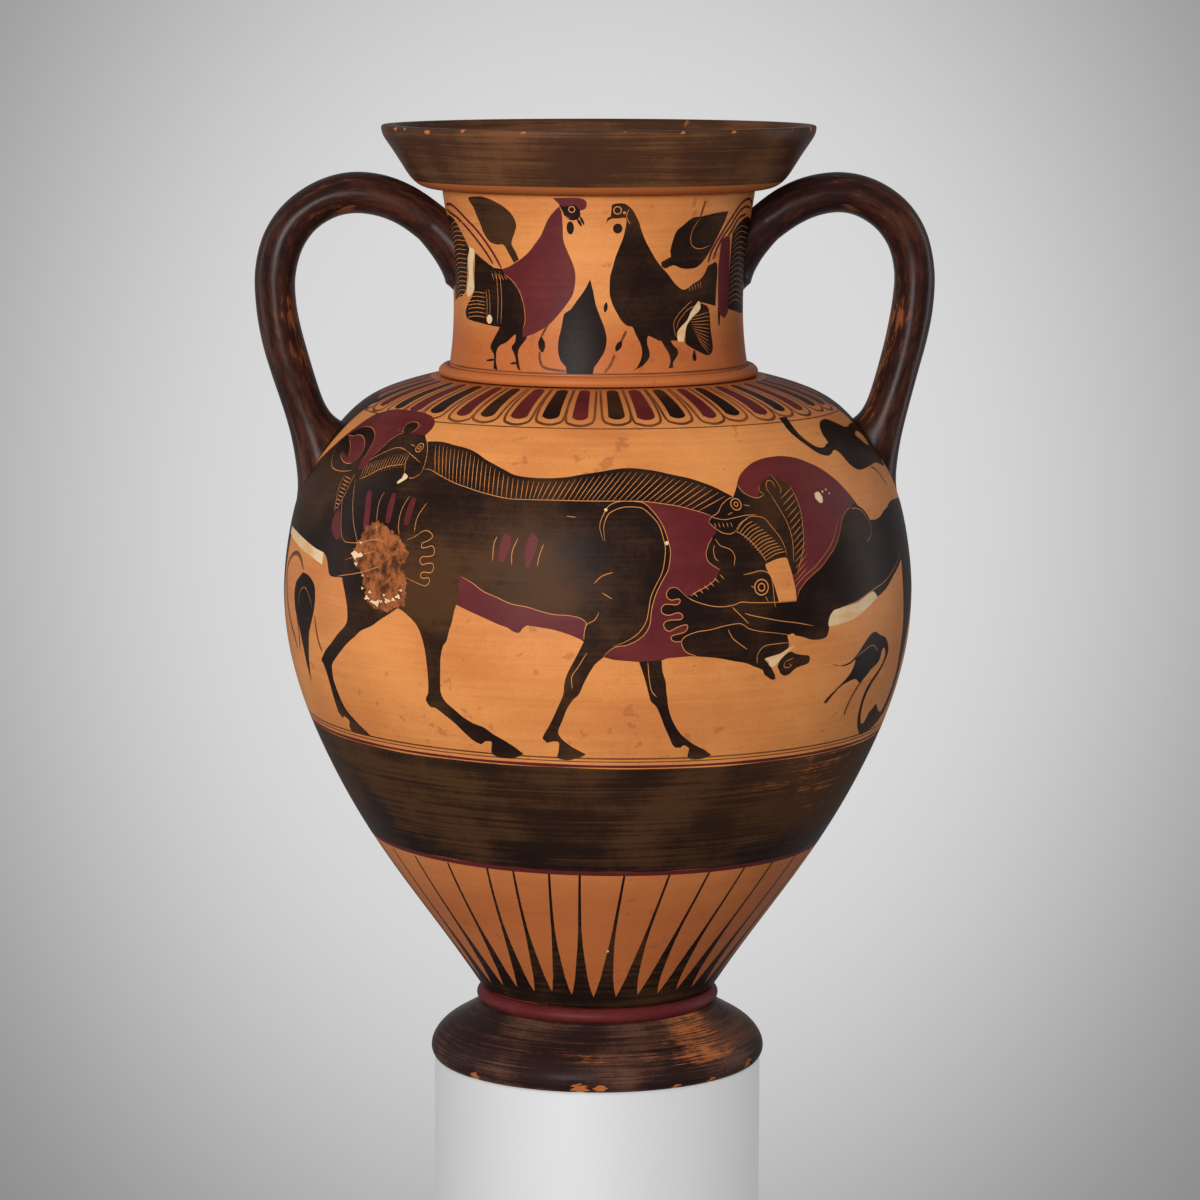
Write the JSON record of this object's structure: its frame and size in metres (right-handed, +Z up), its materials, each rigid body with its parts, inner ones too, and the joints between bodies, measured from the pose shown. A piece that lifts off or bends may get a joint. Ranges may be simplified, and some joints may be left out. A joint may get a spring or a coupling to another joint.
{
  "type": "two-handled amphora",
  "caption": "Thrown clay storage jar with a broad shoulder, offset neck, flaring flat-topped mouth, spreading hollow foot and two upright strap handles.",
  "frame": {"origin": "centre of the foot's resting ring, on the surface the jar stands on", "axes": "+Z up along the potter's axis, the main picture faces -Y, handles at +X and -X"},
  "size_m": [0.2852, 0.267, 0.4],
  "materials": {
    "orange_clay": "burnished orange clay, satin",
    "black_gloss": "fired black gloss slip, semi-gloss, brown where thin",
    "added_red": "matt purple-red slip over black",
    "added_white": "matt cream-white slip",
    "dilute_brown": "thinned slip line, satin"
  },
  "bodies": {
    "root": {"foot": "black_gloss", "foot_fillet": "added_red", "body": "orange_clay", "neck_collar": "orange_clay", "neck": "orange_clay", "mouth": "black_gloss", "left_handle": "black_gloss", "right_handle": "black_gloss"}
  },
  "joints": []
}
